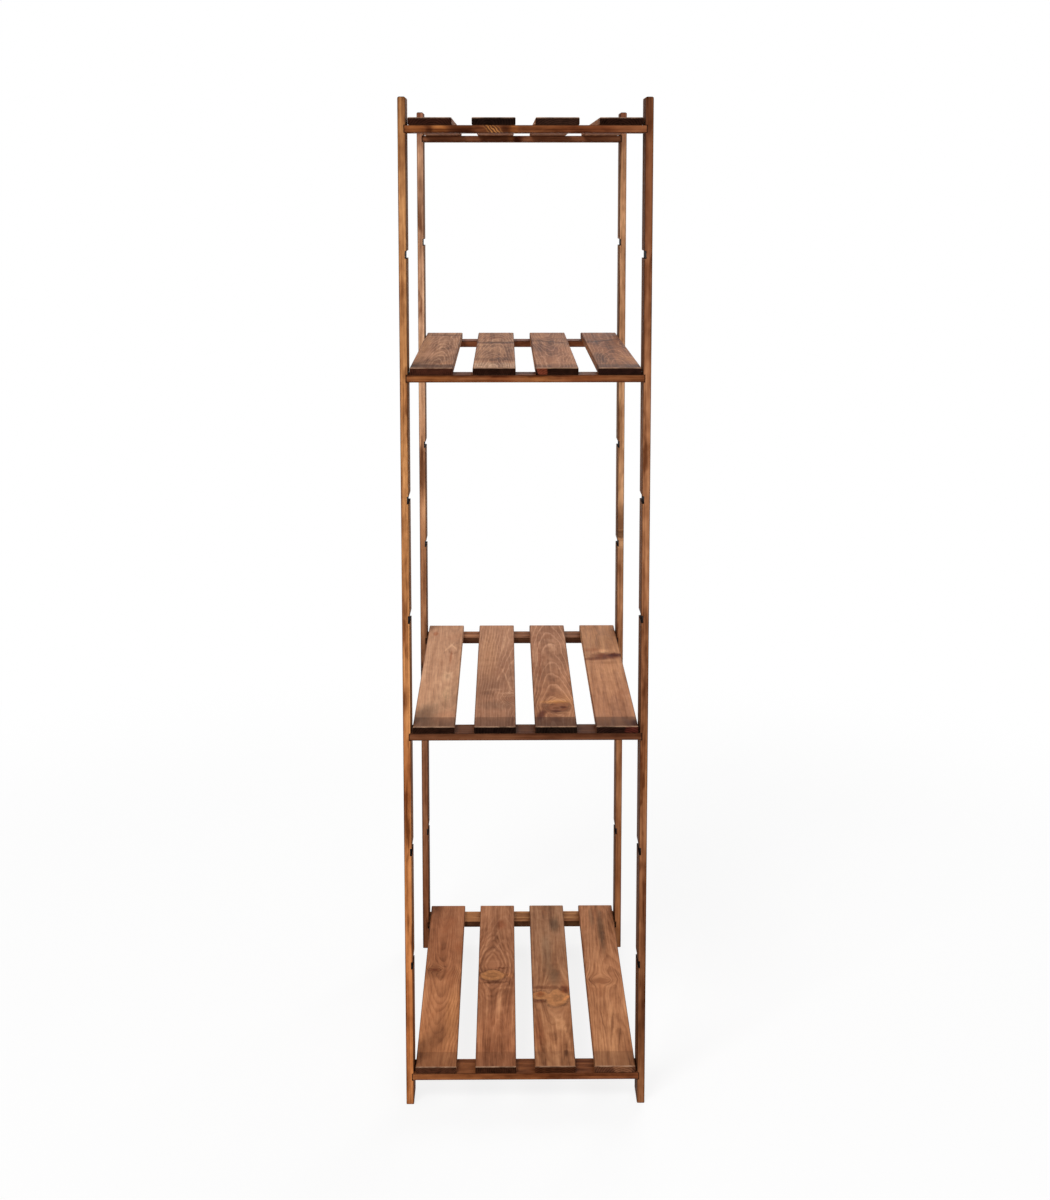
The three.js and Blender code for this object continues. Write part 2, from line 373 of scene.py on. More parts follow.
class Board:
    """A board's material in the making: its coordinates as fields, and its half sizes."""

    def __init__(self, name, seed):
        low, high = (Vector(corner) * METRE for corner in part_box(name))
        size = high - low
        thin, middle, long = sorted(range(3), key=lambda axis: size[axis])
        order = (middle, thin, long)
        self.material = bpy.data.materials.new(f"stained_pine_{name}")
        self.material.use_nodes = True
        self.tree = self.material.node_tree
        self.seed = seed
        texture = self.tree.nodes.new("ShaderNodeTexCoord")
        split = self.tree.nodes.new("ShaderNodeSeparateXYZ")
        self.tree.links.new(texture.outputs["Object"], split.inputs[0])
        centre = (low + high) / 2
        fields = [Field(self.tree, split.outputs[axis]) * METRE - centre[axis] for axis in order]
        self.across, self.deep, self.along = fields
        self.half_across, self.half_deep, self.half_along = (size[axis] / 2 for axis in order)
        self.inward = -1 if centre[order[1]] > 0 else 1
        self.place = self.joined(*fields)

    def joined(self, across, deep, along):
        """Three fields as one vector."""
        node = self.tree.nodes.new("ShaderNodeCombineXYZ")
        for slot, field in zip(node.inputs, (across, deep, along)):
            put(self.tree, slot, field)
        return node.outputs[0]

    def bend(self, knots, ripple):
        """Leads the grain round the knots: its lines part before each knot and close behind it."""
        self.flows = []
        self.bent = self.across
        for knot in knots:
            sideways = (self.across - knot.across + ripple * ARCH_RIPPLE) / (knot.half_across * ARCH_WIDTH)
            lengthways = (self.along - knot.along - knot.half_along * knot.rise) / (knot.half_along * knot.reach)
            flow = sideways.size().maths("POWER", ARCH_POWER) + lengthways.size().maths("POWER", ARCH_POWER)
            flow = flow.maths("POWER", 1 / ARCH_POWER)
            self.bent = self.bent - (self.across - knot.across) / (flow * flow).maths("MAXIMUM", 1)
            self.flows.append(flow)
        self.bent_place = self.joined(self.bent, self.deep, self.along)

    def grain(self, across, deep, along, detail=2):
        """Noise that follows the grain round the knots."""
        return self.noise(across, deep, along, detail, self.bent_place)

    def noise(self, across, deep, along, detail=2, place=None):
        """Noise from about -0.5 to 0.5, with features of these sizes."""
        self.seed += 1
        mapping = self.tree.nodes.new("ShaderNodeMapping")
        mapping.inputs["Scale"].default_value = (1 / across, 1 / deep, 1 / along)
        mapping.inputs["Location"].default_value = [self.seed * shift for shift in NOISE_SHIFT]
        self.tree.links.new(place or self.place, mapping.inputs["Vector"])
        node = self.tree.nodes.new("ShaderNodeTexNoise")
        node.inputs["Scale"].default_value = 1
        node.inputs["Detail"].default_value = detail
        self.tree.links.new(mapping.outputs[0], node.inputs["Vector"])
        return Field(self.tree, node.outputs[0]) - 0.5

    def mix(self, amount, first, second, blend="MIX"):
        return mix_colours(self.tree, amount, first, second, blend)

    def shaded(self, colour, light):
        """A colour times a field."""
        return self.mix(1, colour, light.socket, "MULTIPLY")

    def tinted(self, colour, amount, gain):
        """A colour times a gain, as far as the amount goes."""
        return self.mix(1, colour, self.mix(amount, (1, 1, 1, 1), (*gain, 1)), "MULTIPLY")

    def oval(self, mark, ripple):
        """1 on the outline of a knot or patch, and less inside it."""
        lengthways = self.along - mark.along + ripple * OUTLINE_ALONG
        sideways = self.across - mark.across + ripple * OUTLINE_ACROSS - lengthways * mark.lean
        lengthways = lengthways / mark.half_along
        sideways = sideways / mark.half_across
        return (sideways * sideways + lengthways * lengthways).root() + ripple * OUTLINE_BOTH


def knot_distance(board, knot, ripple):
    """1 on the outline of a knot with its lobes, and less inside it."""
    distance = board.oval(knot, ripple)
    for lobe in knot.lobes:
        lobe_distance = board.oval(Knot(*lobe, knot.colour), ripple)
        distance = distance.maths("SMOOTH_MIN", lobe_distance, LOBE_BLEND)
    return distance


def ring_field(board, look, distances):
    """Late wood as 1 and early wood as 0: rings round the heart of the log, pushed aside by the knots."""
    slow = board.noise(130, 130, 330)
    quick = board.noise(30, 30, 110)
    heart_across, heart_deep = look.heart
    sideways = board.bent - heart_across + slow * look.wander
    height = board.deep - heart_deep + board.along * look.slope + slow * (2 * look.wander)
    radius = (sideways * sideways + height * height).root() + quick * RING_SWAY
    for knot, distance in zip(look.knots, distances):
        radius = radius + (distance * PUSH_FALL).hill() * knot.push
    ring = ((radius + board.grain(6, 6, 30) * RING_RIPPLE) / look.ring).fraction()
    shown = PALE_LINE if look.rings < 0 else LATE_WOOD
    return ring.step(*shown) * ring.step(*YEAR_END)


def pine_colour(board, look, late, distances):
    """The stained face of the board, before its edges and ends."""
    fade = board.noise(26, 26, 150) * RING_FADE + 1
    fibre = board.grain(1.1, 1.1, 48)
    fine_streak = board.grain(2.6, 2.6, 110, 3)
    wide_streak = board.grain(11, 11, 300)
    mottle = board.grain(9, 9, 24, 4)
    blotch = board.noise(60, 60, 170)
    tone = (late - MEAN_LATE_WOOD) * fade * (-look.rings) + fibre * FIBRE_TONE + MIDDLE_TONE
    tone = tone + fine_streak * (FINE_STREAK_TONE * look.streaks)
    tone = tone + wide_streak * (WIDE_STREAK_TONE * look.streaks)
    tone = tone + mottle * (MOTTLE_TONE * look.blotches) + blotch * (BLOTCH_TONE * look.blotches)
    for knot, distance in zip(look.knots, distances):
        tone = tone - (distance * SHADE_FALL).hill() * knot.shade
    ramp = board.tree.nodes.new("ShaderNodeValToRGB")
    ramp.color_ramp.elements[0].color = linear(look.tone, DEEP_STAIN)
    ramp.color_ramp.elements[1].color = linear(look.tone, PALE_STAIN)
    ramp.color_ramp.elements.new(MIDDLE_TONE).color = linear(look.tone)
    put(board.tree, ramp.inputs[0], tone)
    colour = ramp.outputs[0]
    if look.far_tone:
        gain = [b / a for a, b in zip(linear(look.tone), linear(look.far_tone))]
        colour = board.tinted(colour, board.along.step(-board.half_along, board.half_along), gain[:3])
    redness = board.noise(34, 34, 90).step(*RED_PLACES) * REDNESS
    return board.mix(redness, colour, linear(look.tone, RED_STAIN))


def draw_patches(board, look, colour, ripple):
    """Soft stains, pale stretches and single dark or pale lines."""
    for patch in look.patches:
        inside = board.oval(patch, ripple).step(*PATCH_EDGE)
        colour = board.tinted(colour, inside * patch.cover, patch.gain)
    return colour


def draw_swirls(board, look, colour):
    """Dark and pale lines arch over each knot and close under it."""
    for knot, flow in zip(look.knots, board.flows):
        if knot.swirl:
            wave = (flow * SWIRL_LINES + board.noise(14, 14, 34, 3) * SWIRL_RIPPLE).maths("SINE")
            reach = flow.step(*SWIRL_OUTSIDE) * flow.step(*SWIRL_INSIDE) * knot.swirl
            colour = board.tinted(colour, wave.step(*SWIRL_DARK) * reach, SHADED)
            colour = board.tinted(colour, wave.step(*SWIRL_PALE) * reach * SWIRL_PALENESS, PALE)
    return colour


def draw_knots(board, look, colour, distances):
    """A knot is darker in its middle, with a pale rim and a faint dark line round it."""
    spots = board.noise(5, 5, 9, 3)
    for knot, distance in zip(look.knots, distances):
        light = distance.step(*KNOT_RIM) * KNOT_RIM_LIGHT
        light = light + (distance * KNOT_RINGS).maths("SINE") * KNOT_RING_LIGHT
        light = light + spots * KNOT_SPOT_LIGHT + KNOT_LIGHT
        body = board.shaded(linear(knot.colour), light)
        colour = board.mix(distance.step(*KNOT_EDGE) * knot.cover, colour, body)
        line = distance.step(*KNOT_LINE_INSIDE) * distance.step(*KNOT_LINE_OUTSIDE)
        line = line * (spots * KNOT_LINE_SPOTS + KNOT_LINE) * knot.cover
        colour = board.mix(line, colour, linear(UMBER))
    return colour


def make_pine(name, look, seed, stains_and_shade):
    """The material of one board; the extra marks add what only boards of its kind show: the wood's own marks, and
    painted shade.
    """
    board = Board(name, seed)
    ripple = board.noise(9, 9, 20, 3)
    distances = [knot_distance(board, knot, ripple * KNOT_RIPPLE) for knot in look.knots]
    board.bend(look.knots, ripple)
    late = ring_field(board, look, distances)
    colour = pine_colour(board, look, late, distances)
    colour = draw_swirls(board, look, colour)
    colour = draw_knots(board, look, colour, distances)
    colour = draw_patches(board, look, colour, ripple)

    arris = (board.across.size() - board.half_across).step(*ARRIS)
    arris = arris * (board.deep.size() - board.half_deep).step(*ARRIS)
    colour = board.mix(arris * ARRIS_DARKNESS, colour, linear(UMBER))
    end_grain = (board.along.size() - board.half_along).step(*END_GRAIN)
    colour = board.mix(end_grain, colour, end_colour(board, look, late, ripple))
    # the wood's own marks, and the painted shade on slats, rails and uprights
    for stain in stains_and_shade:
        colour = stain(board, look, colour)

    shader = board.tree.nodes["Principled BSDF"]
    shader.inputs["IOR"].default_value = WOOD_IOR
    put(board.tree, shader.inputs["Base Color"], colour)
    roughness = ROUGHNESS - late * LATE_WOOD_SMOOTHER + ripple * RIPPLE_ROUGHER
    put(board.tree, shader.inputs["Roughness"], roughness + end_grain * END_ROUGHER + arris * ARRIS_ROUGHER)
    bump = board.tree.nodes.new("ShaderNodeBump")
    bump.inputs["Strength"].default_value = BUMP_STRENGTH
    bump.inputs["Distance"].default_value = BUMP_HEIGHT
    height = late * LATE_WOOD_RISE + board.noise(1.1, 1.1, 40, 1) * FIBRE_RISE
    put(board.tree, bump.inputs["Height"], height)
    board.tree.links.new(bump.outputs[0], shader.inputs["Normal"])
    return board.material


def end_colour(board, look, late, ripple):
    """The sawn ends, which soaked up more stain, with a mark where the look has one."""
    light = (late - END_MEAN_LATE_WOOD) * END_RINGS + ripple * END_RIPPLE + 1
    colour = linear(look.end)
    if look.end_mark:
        middle, half_width, mark = look.end_mark
        inside = ((board.across - middle + ripple * MARK_RIPPLE) / half_width).size().step(*MARK_EDGE)
        colour = board.mix(inside, colour, linear(mark))
    return board.shaded(colour, light)


# ---------------------------------------------------------------- stains and painted shade of each kind of board

# Each function takes a board, its look and its colour so far, and returns the colour with its mark on it: painted
# shade for over_front_rail (with a painted highlight), on_upper_face, on_front_edge and on_inner_face, and the
# wood's own marks for the rest.

# Painted shade on a slat, where it lies over the front rail:
RAIL_EDGE_BLUR = 1.5        # each way from the line over the rail's edge
RAIL_EDGE_RAGGED = 3
RAIL_SHADE = 0.6            # share of the darkening that sets in at that line
RAIL_SHADE_RISE = 35        # how far behind the line the rest starts, to grow up to the end
FRONT_FACE = (0.4, 1.3)     # the sawn end is left out

# A painted highlight along the front upper edge of each slat, patchy along its length:
PAINTED_EDGE_HIGHLIGHT = (190, 150, 122)
EDGE_HIGHLIGHT_AMOUNT = 0.8           # at most, with a patchy mean
EDGE_HIGHLIGHT_MEAN = 0.55
EDGE_HIGHLIGHT_VARIES = 1.6
EDGE_HIGHLIGHT_ALONG = (2.6, 1.6)     # from the end of the slat
EDGE_HIGHLIGHT_DEEP = (1.9, 1.1)      # from its upper face

FACE_SKIN = (0.8, 0.2)      # under the face that the painted shade is on
EDGE_SKIN = (1.2, 0.3)      # and behind the edge


def inset(half_size, depths):
    """The places of two depths under the face at half_size."""
    return [half_size - depth for depth in depths]


def over_front_rail(board, look, colour):
    """Painted shade: a slat is darker where it lies on the front rail. A painted highlight runs along its front
    upper edge.
    """
    near_end = -board.half_along
    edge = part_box("bottom_shelf_front_rail")[1][1] * METRE
    place = board.along + board.noise(12, 12, 12, 1) * RAIL_EDGE_RAGGED
    band = place.step(edge + RAIL_EDGE_BLUR, edge - RAIL_EDGE_BLUR) * RAIL_SHADE
    band = band + place.step(edge + RAIL_SHADE_RISE, near_end) * (1 - RAIL_SHADE)
    face = board.along.step(*(near_end + depth for depth in FRONT_FACE))
    colour = board.mix(band * face * look.shadow, colour, linear(UMBER))
    # the painted highlight on the front upper edge
    front = board.along.step(*(near_end + depth for depth in EDGE_HIGHLIGHT_ALONG))
    edge_highlight = front * board.deep.step(*inset(board.half_deep, EDGE_HIGHLIGHT_DEEP))
    patchy = board.noise(14, 14, 14) * EDGE_HIGHLIGHT_VARIES + EDGE_HIGHLIGHT_MEAN
    return board.mix(edge_highlight * patchy * EDGE_HIGHLIGHT_AMOUNT, colour, linear(PAINTED_EDGE_HIGHLIGHT))


def on_upper_face(board, look, colour):
    """Painted shade: a front rail is darker on top, between the slats."""
    top = board.deep.step(*inset(board.half_deep, FACE_SKIN))
    return board.mix(top * look.shadow, colour, linear(UMBER))


def on_front_edge(board, look, colour):
    """Painted shade: the edge that a rear rail turns to the front, under the slats, is darker than its upper face.
    """
    edge = board.across.step(*(depth - board.half_across for depth in EDGE_SKIN))
    return board.mix(edge * look.shadow, colour, linear(UMBER))


def on_inner_face(board, look, colour):
    """Painted shade on the faces that two uprights turn to each other, which the light from the front hardly
    reaches.
    """
    inner = (board.deep * board.inward).step(*inset(board.half_deep, FACE_SKIN))
    return board.mix(inner * look.shadow, colour, linear(UMBER))


NOTCH_PITCH = 200           # the notches' sizes, as the uprights have them
NOTCH_HEIGHT = 12.6
NOTCH_DEPTH = 3.2
NOTCH_MARGIN = (0.5, 0.1)   # over the notch
NOTCH_FLOOR_BLUR = 0.3
RAIL_FIT = 0.3              # under and over a rail in its notch
NOTCH_BLACK = (26, 15, 11)


def in_notches(board, look, colour):
    """The notches were cut across the grain and are nearly black inside."""
    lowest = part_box("bottom_shelf_front_rail")[0][2] * METRE - RAIL_FIT
    height = ((board.along + (board.half_along - lowest)) / NOTCH_PITCH).fraction() * NOTCH_PITCH
    inside = height.step(*(NOTCH_HEIGHT + margin for margin in NOTCH_MARGIN))
    notch_floor = board.half_deep - NOTCH_DEPTH
    inner_side = (board.deep * board.inward).step(notch_floor - NOTCH_FLOOR_BLUR, notch_floor)
    return board.mix(inside * inner_side, colour, linear(NOTCH_BLACK))


STRIPES_FROM = (-65, -60)   # where the striped stretch starts along the rail, and where it ends
STRIPES_TO = (-39, -44)
STRIPES_LEAN = 0.9
STRIPES_RAGGED = 7
STRIPES_BACK = (16, 9)      # from the rail's front edge
STRIPE_PITCH = 5.6
STRIPE_RISE = (0.35, 0.60)  # in parts of the pitch
STRIPE_FALL = (1.0, 0.80)
STRIPE_COLOUR = (184, 122, 66)
STRIPE_AMOUNT = 0.9
STRIPE_GROUND = 0.6         # darkness between the stripes
STRIPE_TOP = 0.6            # strength at the top of the rail's edge
STRIPE_GROWTH = 0.4         # and how much it gains towards the lower part
STRIPE_FULL = 0.2           # where it is complete, in half thicknesses below the middle


def on_striped_knot(board, look, colour):
    """A long knot that the saw cut aslant shows as pale stripes on the rail's front edge."""
    slanted = board.along + board.deep * STRIPES_LEAN + board.noise(6, 6, 6) * STRIPES_RAGGED
    stripe = (slanted / STRIPE_PITCH).fraction()
    stripe = stripe.step(*STRIPE_RISE) * stripe.step(*STRIPE_FALL)
    inside = slanted.step(*STRIPES_FROM) * slanted.step(*STRIPES_TO)
    inside = inside * board.across.step(*(depth - board.half_across for depth in STRIPES_BACK))
    lower = board.deep.step(board.half_deep, -board.half_deep * STRIPE_FULL) * STRIPE_GROWTH + STRIPE_TOP
    colour = board.mix(inside * STRIPE_GROUND, colour, linear(UMBER))
    return board.mix(inside * stripe * lower * STRIPE_AMOUNT, colour, linear(STRIPE_COLOUR))


# ---------------------------------------------------------------- the boards

LOOKS = {
    # the bottom shelf
    "bottom_shelf_slat_1": Look(
        (183, 119, 78), (154, 100, 69), ring=2.9, heart=(-5, -19), slope=-0.055, wander=9, rings=0.17,
        streaks=0.35, blotches=0.35, end=(72, 41, 27), shadow=0.45,
        knots=[Knot(-16, 38, 11, 7, RUST, 6, 0.4, 0.25, 0.5)],
        patches=[
            Patch(0, 190, 40, 170, RUDDY, 0.3), Patch(-10, 14, 26, 22, SHADED, 0.4),
            Patch(22, -150, 14, 130, GOLDEN, 0.3)]),
    "bottom_shelf_slat_2": Look(
        (167, 106, 71), (163, 109, 77), ring=3.6, heart=(6, -20), slope=0.06, wander=9, rings=-0.12,
        streaks=0.6, blotches=0.4, end=(56, 30, 18), shadow=0.34,
        knots=[Knot(-8, 12, 23, 21, AMBER, 8, 0.8, 0.2, 0.4, reach=4.4, rise=2.2)],
        patches=[
            Patch(6, -115, 6, 55, PALE, 0.75), Patch(8, 250, 10, 26, RUDDY, 0.8),
            Patch(0, -262, 20, 60, SHADED, 0.35), Patch(-6, -19, 26, 7, SHADED, 0.9),
            Patch(24, 12, 15, 11, (1.35, 1.3, 1.15), 0.8), Patch(16, -42, 16, 5, PALE, 0.6, 0.4),
            Patch(4, 195, 7, 50, PALE, 0.35), Patch(-15, 92, 3, 72, PALE, 0.5, 0.3),
            Patch(17, 92, 3, 72, PALE, 0.4, -0.24), Patch(10, 46, 12, 5, BURNT, 0.7),
            Patch(-18, -150, 3, 130, PALE, 0.5), Patch(30, -200, 3, 120, PALE, 0.5),
            Patch(8, -60, 14, 20, SHADED, 0.25), Patch(-29, 60, 4, 60, SHADED, 0.4, 0.1)]),
    "bottom_shelf_slat_3": Look(
        (168, 112, 75), (153, 106, 76), ring=3.4, heart=(0, -26), slope=-0.05, wander=12, rings=0.10,
        streaks=0.6, blotches=0.5, end=(66, 34, 19), shadow=0.28,
        knots=[Knot(11, -86, 20, 34, AMBER, 8, 0.75, 0.1, 0.1, 0.1, lobes=[(-20, -76, 17, 17)])],
        patches=[
            Patch(14, 250, 12, 44, SMOKY, 0.9), Patch(-4, 110, 12, 120, SMOKY, 0.6),
            Patch(8, 10, 12, 46, SMOKY, 0.8), Patch(-6, -42, 40, 8, BURNT, 0.6),
            Patch(27, -52, 12, 18, RUDDY, 0.9), Patch(27, -56, 9, 12, BURNT, 0.5),
            Patch(-21, -70, 9, 11, RUDDY, 0.9), Patch(-22, -99, 16, 8, BURNT, 0.7),
            Patch(28, -86, 4, 15, (1.5, 1.4, 1.2), 0.9, 0.55), Patch(20, -114, 14, 7, SHADED, 0.5),
            Patch(12, -190, 9, 50, PALE, 0.6, -0.12), Patch(-6, -215, 6, 40, PALE, 0.4, 0.1),
            Patch(-26, -220, 9, 90, RUDDY, 0.6), Patch(24, -230, 4, 60, PALE, 0.4, -0.1),
            Patch(20, -302, 5, 14, SHADED, 1.0)]),
    "bottom_shelf_slat_4": Look(
        (172, 115, 77), (176, 117, 81), ring=3.6, heart=(12, -34), slope=0.04, wander=10, rings=0.16,
        streaks=0.5, blotches=0.4, end=(84, 50, 34), shadow=0.4, end_mark=(14, 16, (118, 76, 52)),
        knots=[Knot(-6, -14, 16, 9, RUST, 3, 0.3, 0.2)],
        patches=[
            Patch(6, 220, 8, 120, SMOKY, 0.9), Patch(-10, 290, 6, 60, SMOKY, 0.7),
            Patch(-8, -36, 24, 9, PALE, 0.5), Patch(4, -200, 2.5, 75, SHADED, 0.8, 0.08),
            Patch(-12, -180, 2, 60, SHADED, 0.6, -0.06), Patch(14, -250, 2, 50, SHADED, 0.6, 0.1),
            Patch(-20, -260, 3, 50, PALE, 0.4, 0.05)]),
    # the third shelf
    "third_shelf_slat_1": Look(
        (201, 149, 114), (190, 141, 109), ring=3.4, heart=(18, -30), slope=-0.03, wander=5, rings=0.10,
        streaks=0.28, blotches=0.28, end=(36, 19, 12), shadow=0.7,
        patches=[
            Patch(13, -35, 11, 36, (1.25, 1.38, 1.42), 1.0), Patch(13, -38, 6, 17, SHADED, 0.35),
            Patch(15, -156, 8, 46, (1.3, 1.45, 1.45), 1.0), Patch(10, 175, 3, 36, PALE, 0.6, 0.25),
            Patch(20, 175, 3, 36, PALE, 0.6, -0.25), Patch(-20, 280, 6, 20, RUDDY, 1.0),
            Patch(16, 100, 3, 60, RUDDY, 0.8), Patch(-18, -285, 26, 70, SMOKY, 0.5),
            Patch(20, -300, 26, 50, RUDDY, 0.3)]),
    "third_shelf_slat_2": Look(
        (166, 116, 87), (184, 133, 102), ring=4.4, heart=(40, -22), slope=0.05, wander=26, rings=-0.20,
        streaks=0.25, blotches=0.3, end=(27, 15, 11), shadow=0.6,
        knots=[Knot(30, -190, 12, 14, RUST, 22, 0.25, 0.1, 0.5)],
        patches=[
            Patch(-14, 120, 20, 200, GOLDEN, 0.2), Patch(0, -225, 34, 30, SMOKY, 0.45),
            Patch(-16, -150, 14, 12, SHADED, 0.35), Patch(14, 190, 2.5, 90, PALE, 0.7, 0.06),
            Patch(9, -20, 2.5, 60, PALE, 0.8, 0.14), Patch(20, -60, 2, 90, PALE, 0.7, -0.12),
            Patch(-6, -128, 18, 7, PALE, 0.6, 0.5), Patch(16, -150, 14, 7, PALE, 0.5, -0.9),
            Patch(26, 40, 2, 160, SHADED, 0.4, -0.03)]),
    "third_shelf_slat_3": Look(
        (166, 111, 77), (180, 128, 97), ring=4.6, heart=(2, -20), slope=0.05, wander=14, rings=-0.28,
        streaks=0.35, blotches=0.4, end=(28, 17, 12), shadow=0.82,
        knots=[Knot(6, -242, 18, 20, RUST, 6, 0.45, 0.2, 0.15, lobes=[(12, -222, 14, 12)])],
        patches=[
            Patch(0, -206, 28, 12, GOLDEN, 1.0), Patch(-24, -286, 8, 40, BURNT, 1.0, 0.15),
            Patch(5, 200, 9, 70, PALE, 0.5), Patch(2, -262, 9, 9, BURNT, 0.9),
            Patch(15, -238, 7, 8, BURNT, 0.9), Patch(14, -205, 26, 50, GOLDEN, 0.4),
            Patch(16, -270, 14, 6, PALE, 0.5, 0.5), Patch(8, -312, 26, 16, BURNT, 0.5),
            Patch(-6, -222, 14, 4, BURNT, 0.5), Patch(0, 40, 3, 80, PALE, 0.5),
            Patch(-20, 60, 3, 160, RUDDY, 0.5)]),
    "third_shelf_slat_4": Look(
        (174, 118, 84), (195, 138, 98), ring=3.4, heart=(8, -60), slope=0.01, wander=6, rings=0.10,
        streaks=0.35, blotches=0.3, end=(36, 19, 14), shadow=0.74, end_mark=(24, 12, (72, 31, 24)),
        patches=[
            Patch(8, 104, 34, 26, BURNT, 1.0), Patch(24, 112, 18, 16, BURNT, 0.9),
            Patch(-18, 84, 26, 14, BURNT, 0.8), Patch(3, 142, 14, 15, PALE, 0.8),
            Patch(4, 56, 30, 12, SHADED, 0.25), Patch(-20, 150, 26, 16, RUDDY, 0.5),
            Patch(32, -336, 12, 26, (0.22, 0.1, 0.1), 0.95)]),
    # the second shelf
    "second_shelf_slat_1": Look(
        (165, 116, 84), (158, 113, 84), ring=3.0, heart=(6, -20), slope=0.03, wander=8, rings=-0.38,
        streaks=0.45, blotches=0.55, end=(64, 33, 23), shadow=0.77,
        patches=[
            Patch(6, -20, 9, 190, PALE, 0.3), Patch(10, 290, 60, 22, SHADED, 0.7),
            Patch(0, 330, 60, 20, PALE, 0.4), Patch(-26, 60, 8, 240, GOLDEN, 0.4),
            Patch(0, -310, 50, 18, SHADED, 0.4)]),
    "second_shelf_slat_2": Look(
        (171, 121, 87), (161, 114, 83), ring=3.2, heart=(0, -24), slope=0.05, wander=14, rings=-0.34,
        streaks=0.5, blotches=0.6, end=(37, 19, 12), shadow=0.0,
        patches=[
            Patch(10, 120, 70, 26, SHADED, 0.8), Patch(16, 112, 60, 9, SHADED, 0.9),
            Patch(-8, 78, 50, 20, PALE, 0.5), Patch(-14, 0, 16, 50, PALE, 0.4),
            Patch(10, -205, 70, 34, SHADED, 0.7), Patch(0, -318, 90, 60, (1.25, 1.55, 1.9), 1.0),
            Patch(-10, 230, 40, 30, RUDDY, 0.5), Patch(0, 172, 40, 22, PALE, 0.3)]),
    "second_shelf_slat_3": Look(
        (156, 104, 72), (160, 107, 73), ring=3.2, heart=(-4, -28), slope=-0.03, wander=14, rings=-0.34,
        streaks=0.5, blotches=0.55, end=(37, 19, 12), shadow=0.4, end_mark=(-24, 8, (108, 52, 35)),
        patches=[
            Patch(0, 140, 16, 46, SHADED, 0.9, -0.9), Patch(-8, 92, 14, 46, PALE, 0.5, -0.9),
            Patch(-14, -144, 14, 50, PALE, 0.35), Patch(10, -10, 26, 60, RUDDY, 0.4),
            Patch(0, 250, 50, 30, PALE, 0.3)]),
    "second_shelf_slat_4": Look(
        (145, 93, 58), (143, 87, 52), ring=3.0, heart=(4, -40), slope=0.03, wander=14, rings=-0.32, streaks=0.5,
        blotches=0.55, end=(38, 20, 15), shadow=0.72,
        patches=[
            Patch(0, 160, 13, 50, SHADED, 1.0, 0.8), Patch(-6, 205, 12, 44, PALE, 0.4, 0.8),
            Patch(18, -200, 12, 80, GOLDEN, 0.5), Patch(-22, -180, 16, 140, SMOKY, 0.4),
            Patch(0, 60, 60, 24, PALE, 0.25)]),
    # the top shelf
    "top_shelf_slat_1": Look(
        (156, 104, 72), (150, 100, 72), ring=3.6, heart=(5, -30), rings=0.2, streaks=0.4, blotches=0.4,
        end=(44, 22, 15)),
    "top_shelf_slat_2": Look(
        (150, 98, 68), (156, 102, 72), ring=4.2, heart=(-9, -24), slope=0.05, rings=-0.26, streaks=0.4,
        blotches=0.4, end=(27, 15, 11),
        knots=[Knot(12, -40, 14, 11, AMBER, 12, 0.8, 0.25)]),
    "top_shelf_slat_3": Look(
        (160, 108, 74), (152, 100, 70), ring=3.4, heart=(8, -35), slope=-0.04, rings=0.2, streaks=0.4,
        blotches=0.4, end=(44, 26, 19),
        knots=[Knot(-16, 150, 10, 9, RUST, 8, 0.6, 0.2)]),
    "top_shelf_slat_4": Look(
        (154, 102, 70), (160, 106, 74), ring=3.8, heart=(-3, -28), rings=0.2, streaks=0.4, blotches=0.4,
        end=(34, 17, 11)),
    # the uprights
    "front_left_upright": Look(
        (178, 110, 63), (162, 110, 68), ring=3.0, heart=(60, 8), slope=0.008, wander=8, rings=0.25, streaks=0.8,
        blotches=0.7, shadow=0.6,
        patches=[
            Patch(-29, 130, 40, 400, PALE, 0.55), Patch(-29, 800, 40, 90, SHADED, 0.35),
            Patch(-29, -280, 30, 60, RUDDY, 0.4), Patch(-29, -680, 40, 130, RUDDY, 0.4)]),
    "front_right_upright": Look(
        (128, 79, 49), (158, 104, 70), ring=3.0, heart=(70, -6), slope=-0.006, wander=8, rings=0.25,
        streaks=0.8, blotches=0.7, shadow=0.6,
        patches=[
            Patch(-29, 800, 60, 380, SHADED, 0.95), Patch(-29, 840, 40, 60, SHADED, 0.3),
            Patch(-33, 700, 12, 260, RUDDY, 0.4), Patch(-29, 260, 40, 220, PALE, 0.45),
            Patch(-29, -250, 40, 90, GOLDEN, 0.3), Patch(-29, -690, 40, 140, SHADED, 0.5),
            Patch(-29, -330, 40, 100, PALE, 0.3)]),
    # The rear uprights run from dark at the lower end to pale at the upper one: painted light, as light from above
    # would leave them.
    "rear_left_upright": Look(
        (118, 70, 43), (212, 162, 126), ring=3.0, heart=(64, 3), slope=0.01, wander=8, rings=0.2, streaks=0.6,
        blotches=0.5, shadow=0.6,
        knots=[Knot(-29, -262, 30, 12, UMBER, 6, 0.8, 0.2)],
        patches=[
            Patch(-29, 700, 40, 120, SHADED, 0.35), Patch(-29, 400, 40, 200, PALE, 0.25),
            Patch(-29, 0, 40, 300, (0.98, 0.87, 0.72), 0.9), Patch(-29, 150, 30, 60, SHADED, 0.6),
            Patch(-29, 200, 30, 14, PALE, 0.4), Patch(-29, -230, 30, 90, SHADED, 0.35),
            Patch(-29, 850, 60, 70, (0.50, 0.38, 0.38), 1.0)]),
    "rear_right_upright": Look(
        (158, 100, 63), (226, 168, 122), ring=3.0, heart=(58, -4), slope=-0.01, wander=8, rings=0.2,
        streaks=0.6, blotches=0.5, shadow=0.6,
        knots=[Knot(-29, 18, 30, 7, UMBER, 6, 0.5, 0.2)],
        patches=[
